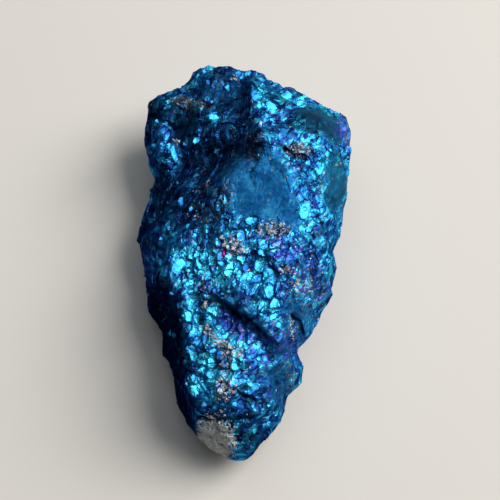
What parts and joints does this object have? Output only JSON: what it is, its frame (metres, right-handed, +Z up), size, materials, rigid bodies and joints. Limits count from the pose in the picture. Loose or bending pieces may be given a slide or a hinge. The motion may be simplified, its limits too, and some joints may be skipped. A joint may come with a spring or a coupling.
{
  "type": "peacock ore specimen",
  "caption": "Rough wedge-shaped lump of tarnished peacock ore, broad at one end and narrowing to a tip, with a ledge, cracks, crystal faces and a small flat spot to rest on.",
  "frame": {"origin": "bottom centre of the lump's bounding box, on the surface that it rests on", "axes": "+Y towards the broad back end, with the narrow tip at -Y; +Z up; +X to the right, the side that falls away from a high shoulder"},
  "size_m": [0.0188, 0.0346, 0.0122],
  "materials": {
    "tarnished_ore": "satin"
  },
  "bodies": {
    "root": {"peacock_ore": "tarnished_ore"}
  },
  "joints": []
}
